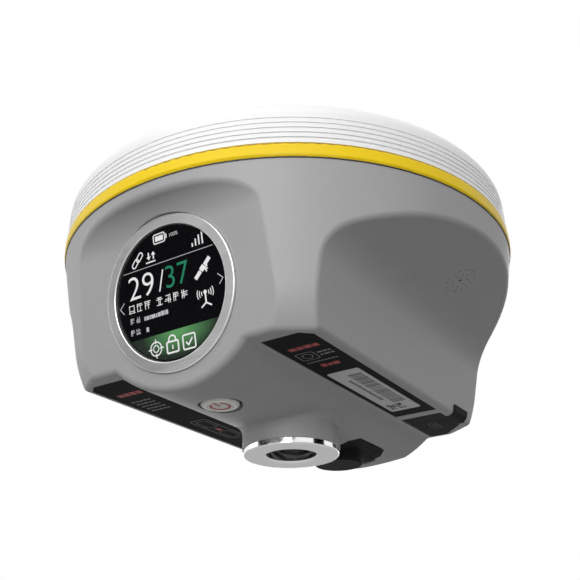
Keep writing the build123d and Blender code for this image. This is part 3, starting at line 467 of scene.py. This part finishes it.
def band_glow():
    """The status band's green: bright at its upper middle and dark towards both ends."""
    material = bpy.data.materials.new("display_band")
    material.use_nodes = True
    nodes, links = material.node_tree.nodes, material.node_tree.links
    shader = nodes["Principled BSDF"]
    where = nodes.new("ShaderNodeTexCoord")
    place = nodes.new("ShaderNodeMapping")
    centre = display.at(1.6, -11.3)
    spread = (78, 78, 150)  # how fast the glow fades along X, Y and Z, per metre
    place.inputs["Location"].default_value = [-c * fade for c, fade in zip(centre, spread)]
    place.inputs["Scale"].default_value = spread
    links.new(where.outputs["Object"], place.inputs["Vector"])
    glow = nodes.new("ShaderNodeTexGradient")
    glow.gradient_type = "SPHERICAL"
    links.new(place.outputs["Vector"], glow.inputs["Vector"])
    ramp = nodes.new("ShaderNodeValToRGB")
    ramp.color_ramp.elements[0].color = (0.006, 0.012, 0.008, 1)
    ramp.color_ramp.elements[1].color = (0.13, 0.42, 0.14, 1)
    ramp.color_ramp.elements[1].position = 0.85
    links.new(glow.outputs["Fac"], ramp.inputs["Fac"])
    links.new(ramp.outputs["Color"], shader.inputs["Emission Color"])
    shader.inputs["Emission Strength"].default_value = 0.8
    shader.inputs["Base Color"].default_value = (0.01, 0.02, 0.01, 1)
    shader.inputs["Roughness"].default_value = 0.4
    return material


printed("display_band", display, [segment], band_glow(), "receiver", under_glass - 0.03)
target = ring(-6.8, -14.8, 1.95, 0.36) + ring(-6.8, -14.8, 0.95, 0.3, 24)
for turn in range(4):
    target += turned(bar(-0.16, 1.35, 0.16, 2.75), -6.8, -14.8, 90 * turn)
padlock = stroke(rounded(-2.9, -17.0, 1.1, -13.9, 0.4), 0.5, closed=True) + bar(-1.1, -16.1, -0.7, -14.9)
padlock += stroke([(-2.1, -13.9)] + arc(-0.9, -13.4, 1.2, 180, 0, 12) + [(0.3, -13.9)], 0.45)
tick_box = stroke(rounded(2.8, -17.2, 7.0, -13.2, 0.5), 0.45, closed=True)
tick_box += stroke([(3.8, -15.2), (4.6, -16.1), (6.1, -14.3)], 0.45)
status = padlock + tick_box
printed("display_status", display, target + status, display_white, "receiver", under_glass)

# ---- power symbol -----------------------------------------------------------------------------------
foot = middle("power_button")
button_face = Face((foot.x, foot.y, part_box("power_button")[0][2]), (1, 0, 0), (0, -1, 0))
power = stroke(arc(0, 0, 2.75, 90 + 32, 90 + 328, 30), 0.75) + bar(-0.37, 0.2, 0.37, 3.3)
printed("power_symbol", button_face, power, symbol_red, "button", 0.005, 0.03)
printed("power_symbol_rim", button_face, ring(0, 0, 4.45, 0.35, 48), bezel_silver, "button", 0.0, 0.05)

# ---- labels ---------------------------------------------------------------------------------------
for side, name in ((-1, "left_label"), (1, "right_label")):
    low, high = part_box(name)
    centre = middle(name)
    face = Face((centre.x, centre.y, low[2]), (1, 0, 0), (0, -1, 0))
    half_y = (high[1] - low[1]) / 2 / MM
    if side > 0:
        red = dashes(11, -4.6, half_y - 10.5, 2.2, (2.2, 1.9, 2.2, 1.9), 0.35)
        fine = stroke(rounded(-5.2, half_y - 18.4, 0.2, half_y - 13.0, 0.9), 0.3, closed=True)
        fine += ring(-2.5, half_y - 15.7, 1.5, 0.3, 28)
        fine += dashes(12, 1.2, half_y - 15.0, 1.0, (1.6, 1.2, 0.9), 0.3)
        fine += dashes(13, 1.2, half_y - 17.0, 1.0, (0.9, 1.8, 1.0), 0.3)
        fine += dashes(14, -5.4, half_y - 20.8, 0.8, (0.8,) * 9, 0.32)
        red += dashes(15, -3.0, half_y - 25.2, 2.2, (1.7, 1.5, 1.9), 0.35)
    else:
        red = dashes(21, -4.4, half_y - 12.0, 2.6, (2.2, 1.9, 2.2, 1.9), 0.35)
        red += bar(-0.9, -17.6, 0.9, -14.8)
        fine = stroke(rounded(-3.2, -28.0, 3.2, -4.0, 1.4), 0.3, closed=True)
        fine += stroke(rounded(-1.9, -26.4, 1.9, -18.8, 0.7), 0.26, closed=True)
        fine += stroke(rounded(-1.9, -13.2, 1.9, -5.6, 0.7), 0.26, closed=True)
        for row in range(5):
            fine += dashes(22 + row, -5.0, half_y - 18.0 - row * 2.4, 0.9, (1.3, 0.9, 1.6, 1.1, 1.2), 0.35)
    printed(name + "_red_print", face, red, print_red, "receiver", 0.0, 0.02)
    printed(name + "_fine_print", face, fine, print_grey, "receiver", 0.0, 0.02)

low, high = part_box("label_sticker")
centre = middle("label_sticker")
sticker = Face((centre.x, centre.y, low[2]), (0, 1, 0), (1, 0, 0))
pick = random.Random(8)
stripes = []
along = -17.6
while along < 13.0:
    width = pick.choice((0.22, 0.22, 0.4, 0.6))
    stripes += bar(along, -0.4, along + width, 4.1)
    along += width + pick.choice((0.22, 0.3, 0.45))
stripes += dashes(9, -13.0, -2.6, 1.1, (0.7,) * 22, 0.28)
for row in range(9):
    for column in range(9):
        if pick.random() < 0.52:
            x, y = 13.9 + column * 0.6, -4.2 + row * 0.6
            stripes += bar(x, y, x + 0.58, y + 0.58)
printed("sticker_print", sticker, stripes, print_black, "receiver", 0.0, 0.015)

# ---- covers' marks ----------------------------------------------------------------------------------
low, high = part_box("usb_cover")
mark_face = Face((0.0315, 0.0435, low[2]), (0, 1, 0), (1, 0, 0))
mark = stroke(rounded(-3.4, -1.3, 3.4, 1.3, 1.2), 0.34, closed=True) + bar(-2.0, -0.22, 2.0, 0.22)
printed("usb_cover_mark", mark_face, mark, mark_grey, "port_cover", 0.0, 0.06)


# ---- painted shadow in the gap under the bumper ring ------------------------------------------------
def gap_shadow_ring():
    """A painted shadow: one thin closed ring of dark rubber that stands for the shade in the gap between the
    yellow bumper ring and the casing.
    """
    inner, outer, low, high, steps = 75.56, 75.7, 61.62, 61.98, 240
    mesh = bpy.data.meshes.new("bumper_gap_shadow")
    form = bmesh.new()
    loops = []
    for k in range(steps):
        c, s = math.cos(2 * math.pi * k / steps), math.sin(2 * math.pi * k / steps)
        loops.append([form.verts.new((r * MM * c, r * MM * s, z * MM))
                      for r, z in ((inner, low), (outer, low), (outer, high), (inner, high))])
    for a, b in zip(loops, loops[1:] + loops[:1]):
        for k in range(4):
            form.faces.new((a[k], a[(k + 1) % 4], b[(k + 1) % 4], b[k]))
    bmesh.ops.recalc_face_normals(form, faces=form.faces)
    form.to_mesh(mesh)
    form.free()
    # The ring's black rubber is painted shade for the gap between the bumper ring and the casing.
    mesh.materials.append(seal_rubber)
    gap_shadow = bpy.data.objects.new("bumper_gap_shadow", mesh)
    scene.collection.objects.link(gap_shadow)
    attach(gap_shadow, "receiver")


gap_shadow_ring()

# ---- pole thread --------------------------------------------------------------------------------------
def thread_ridge():
    """The coarse thread inside the pole insert, as one closed spiral ridge, in a darkened steel that is
    painted shade for the inside of the bore.
    """
    major, minor, pitch = 7.93, 6.85, 2.309
    start_z, turns, steps = 4.6, 4.7, 72
    mesh = bpy.data.meshes.new("pole_thread_ridge")
    form = bmesh.new()
    sections = []
    for k in range(int(turns * steps) + 1):
        angle = 2 * math.pi * k / steps
        z = start_z + pitch * k / steps
        points = ((major, z - 0.46 * pitch), (minor, z - 0.08 * pitch), (minor, z + 0.08 * pitch),
                  (major, z + 0.46 * pitch))
        sections.append([form.verts.new((r * MM * math.cos(angle), r * MM * math.sin(angle), h * MM))
                         for r, h in points])
    for a, b in zip(sections, sections[1:]):
        for k in range(4):
            form.faces.new((a[k], a[(k + 1) % 4], b[(k + 1) % 4], b[k]))
    form.faces.new(sections[0])
    form.faces.new(list(reversed(sections[-1])))
    bmesh.ops.recalc_face_normals(form, faces=form.faces)
    form.to_mesh(mesh)
    form.free()
    for polygon in mesh.polygons:
        polygon.use_smooth = True
    # The darkened steel is painted shade for the inside of the bore.
    mesh.materials.append(thread_steel_painted_shade)
    ridge = bpy.data.objects.new("pole_thread_ridge", mesh)
    scene.collection.objects.link(ridge)
    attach(ridge, "receiver")


thread_ridge()


# ---- stage ----------------------------------------------------------------------------------------
def studio():
    """A plain pale floor far below the receiver, and an even white world."""
    mesh = bpy.data.meshes.new("floor")
    size, drop = 12.0, 0.62
    mesh.from_pydata([(-size, -size, 0), (size, -size, 0), (size, size, 0), (-size, size, 0)], [],
                     [(0, 1, 2, 3)])
    floor = bpy.data.objects.new("floor", mesh)
    floor.location = (0, 0, -drop)
    scene.collection.objects.link(floor)
    pale = bpy.data.materials.new("floor_pale")
    pale.use_nodes = True
    nodes, links = pale.node_tree.nodes, pale.node_tree.links
    shader = nodes["Principled BSDF"]
    shader.inputs["Base Color"].default_value = (0.38, 0.38, 0.38, 1)
    shader.inputs["Roughness"].default_value = 0.9
    shader.inputs["Emission Color"].default_value = (1, 1, 1, 1)
    seen = nodes.new("ShaderNodeLightPath")
    glow = nodes.new("ShaderNodeMath")
    glow.operation = "MAXIMUM"
    links.new(seen.outputs["Is Camera Ray"], glow.inputs[0])
    mirrored = nodes.new("ShaderNodeMath")
    mirrored.operation = "MULTIPLY"
    mirrored.inputs[1].default_value = 0.38
    links.new(seen.outputs["Is Glossy Ray"], mirrored.inputs[0])
    links.new(mirrored.outputs[0], glow.inputs[1])
    brightness = nodes.new("ShaderNodeMath")
    brightness.operation = "MULTIPLY"
    brightness.inputs[1].default_value = 0.80
    links.new(glow.outputs[0], brightness.inputs[0])
    links.new(brightness.outputs[0], shader.inputs["Emission Strength"])
    mesh.materials.append(pale)

    world = bpy.data.worlds.new("studio")
    scene.world = world
    world.use_nodes = True
    nodes, links = world.node_tree.nodes, world.node_tree.links
    nodes.clear()
    path = nodes.new("ShaderNodeLightPath")
    seen = nodes.new("ShaderNodeMath")
    seen.operation = "MAXIMUM"
    links.new(path.outputs["Is Camera Ray"], seen.inputs[0])
    links.new(path.outputs["Is Glossy Ray"], seen.inputs[1])
    seen_too = nodes.new("ShaderNodeMath")
    seen_too.operation = "MAXIMUM"
    links.new(seen.outputs[0], seen_too.inputs[0])
    links.new(path.outputs["Is Transmission Ray"], seen_too.inputs[1])
    light = nodes.new("ShaderNodeBackground")
    light.inputs["Color"].default_value = (1, 1, 1, 1)
    light.inputs["Strength"].default_value = 0.29
    backdrop = nodes.new("ShaderNodeBackground")
    backdrop.inputs["Color"].default_value = (1, 1, 1, 1)
    backdrop.inputs["Strength"].default_value = 1.0
    choose = nodes.new("ShaderNodeMixShader")
    out = nodes.new("ShaderNodeOutputWorld")
    links.new(seen_too.outputs[0], choose.inputs["Fac"])
    links.new(light.outputs[0], choose.inputs[1])
    links.new(backdrop.outputs[0], choose.inputs[2])
    links.new(choose.outputs[0], out.inputs["Surface"])


def lamp(name, place, target, power, width, height):
    """A soft rectangular lamp that faces a point."""
    data = bpy.data.lights.new(name, "AREA")
    data.shape = "RECTANGLE"
    data.size, data.size_y = width, height
    data.energy = power
    light = bpy.data.objects.new(name, data)
    light.location = place
    light.rotation_euler = (Vector(place) - Vector(target)).to_track_quat("Z", "Y").to_euler()
    scene.collection.objects.link(light)
    return light


studio()
heart = Vector((0, 0, 0.045))  # the middle of the receiver, where every lamp points
lamp("key", (0.15, -0.72, 0.74), heart, 5.0, 1.2, 1.0)
lamp("front_right", (0.36, -0.93, 0.14), heart, 4.3, 0.45, 0.45)
lamp("left", (-1.0, -0.45, 0.15), heart, 0.7, 0.8, 0.9)
lamp("back", (-0.35, 1.0, 0.35), heart, 4.0, 0.9, 0.7)


def card(name, azimuth, elevation, distance, width, height):
    """A dark card that only reflections show, so that bright metal has something to mirror."""
    mesh = bpy.data.meshes.new(name)
    mesh.from_pydata([(-width / 2, -height / 2, 0), (width / 2, -height / 2, 0), (width / 2, height / 2, 0),
                      (-width / 2, height / 2, 0)], [], [(0, 1, 2, 3)])
    mesh.materials.append(card_black)
    piece = bpy.data.objects.new(name, mesh)
    turn, rise = math.radians(azimuth), math.radians(elevation)
    way = Vector((math.sin(turn) * math.cos(rise), -math.cos(turn) * math.cos(rise), math.sin(rise)))
    piece.location = way * distance
    piece.rotation_euler = way.to_track_quat("Z", "Y").to_euler()
    piece.visible_camera = False
    piece.visible_diffuse = False
    piece.visible_transmission = False
    piece.visible_shadow = False
    scene.collection.objects.link(piece)


card_black = bpy.data.materials.new("card_black")
card_black.use_nodes = True
card_black.node_tree.nodes["Principled BSDF"].inputs["Base Color"].default_value = (0.004, 0.004, 0.004, 1)
card_black.node_tree.nodes["Principled BSDF"].inputs["Specular IOR Level"].default_value = 0.0
card("dark_card_left", -38, 8, 1.4, 0.75, 1.2)
card("dark_card_right", 102, 8, 1.4, 0.75, 1.2)


# ---- camera ---------------------------------------------------------------------------------------
def set_camera():
    """The camera looks up at the receiver from below and to its right, a little rolled."""
    azimuth, elevation, roll = (math.radians(a) for a in (32.301, -26.051, -1.113))
    back = Vector((math.sin(azimuth) * math.cos(elevation), -math.cos(azimuth) * math.cos(elevation),
                   math.sin(elevation)))
    right = Vector((math.cos(azimuth), math.sin(azimuth), 0))
    upward = back.cross(right)
    rolled = right * math.cos(roll) + upward * math.sin(roll)
    top = upward * math.cos(roll) - right * math.sin(roll)
    data = bpy.data.cameras.new("view")
    data.lens = 52.81
    data.sensor_width = 36.0
    camera = bpy.data.objects.new("view", data)
    turn = Matrix((rolled, top, back)).transposed().to_4x4()
    camera.matrix_world = Matrix.Translation((0.142563, -0.224419, -0.071161)) @ turn
    scene.collection.objects.link(camera)
    scene.camera = camera


set_camera()
scene.view_settings.view_transform = "Standard"
